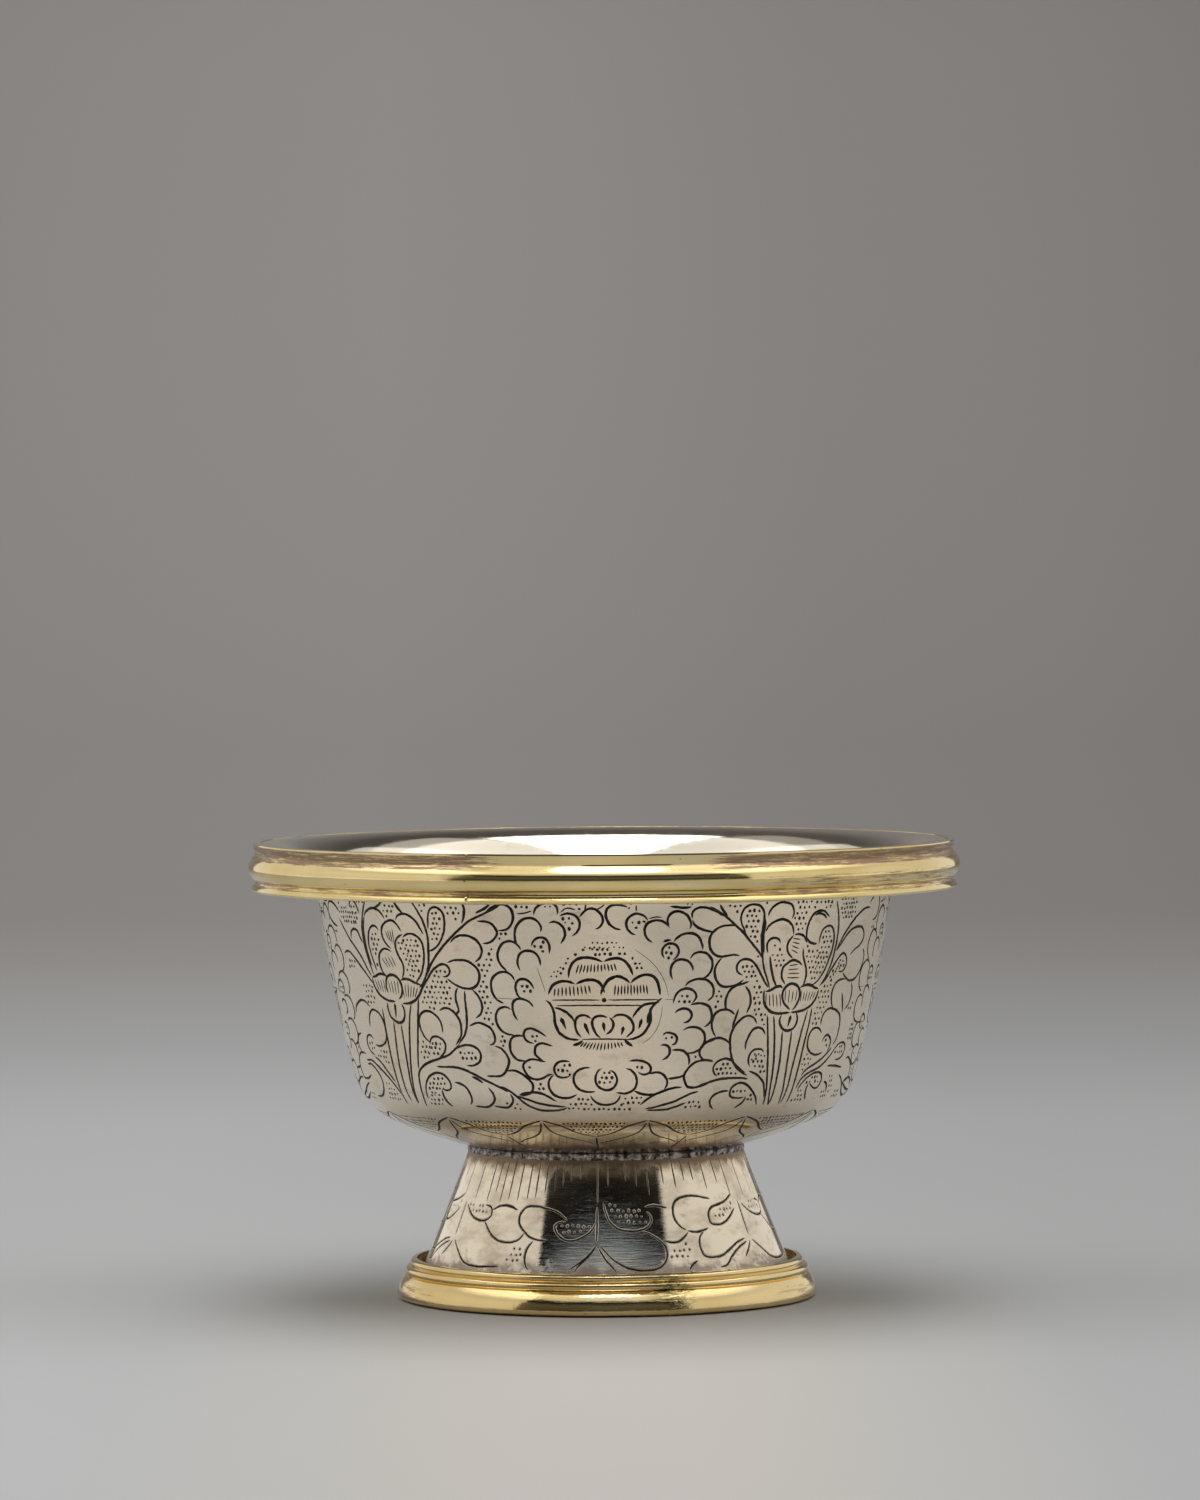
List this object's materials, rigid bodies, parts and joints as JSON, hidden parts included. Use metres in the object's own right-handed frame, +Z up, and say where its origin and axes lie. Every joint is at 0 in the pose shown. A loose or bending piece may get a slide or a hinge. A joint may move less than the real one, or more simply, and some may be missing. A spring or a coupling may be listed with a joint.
{
  "type": "offering bowl",
  "caption": "Footed offering bowl of raised sheet metal, with a flared lip, a hollow conical foot, and moulded gilt bands soldered round the rim and the foot.",
  "frame": {"origin": "on the bowl's axis, in the plane that the foot ring rests on", "axes": "+Z up along the axis, the engraved medallion seen in the picture towards -Y"},
  "size_m": [0.096, 0.096, 0.0616],
  "materials": {
    "engraved_silver": "hand-polished silver sheet with darkened engraving",
    "gilt_brass": "polished gilt brass, worn to pinkish brown in the hollows",
    "silver_solder": "dull, uneven solder"
  },
  "bodies": {
    "root": {"bowl_body": "engraved_silver", "rim_band": "gilt_brass", "rim_seam_solder": "silver_solder", "rim_solder_bead": "silver_solder", "foot_skirt": "engraved_silver", "foot_skirt_seam_solder": "silver_solder", "bowl_foot_solder_bead": "silver_solder", "foot_ring": "gilt_brass", "foot_ring_seam_solder": "silver_solder", "foot_ring_solder_bead": "silver_solder"}
  },
  "joints": []
}
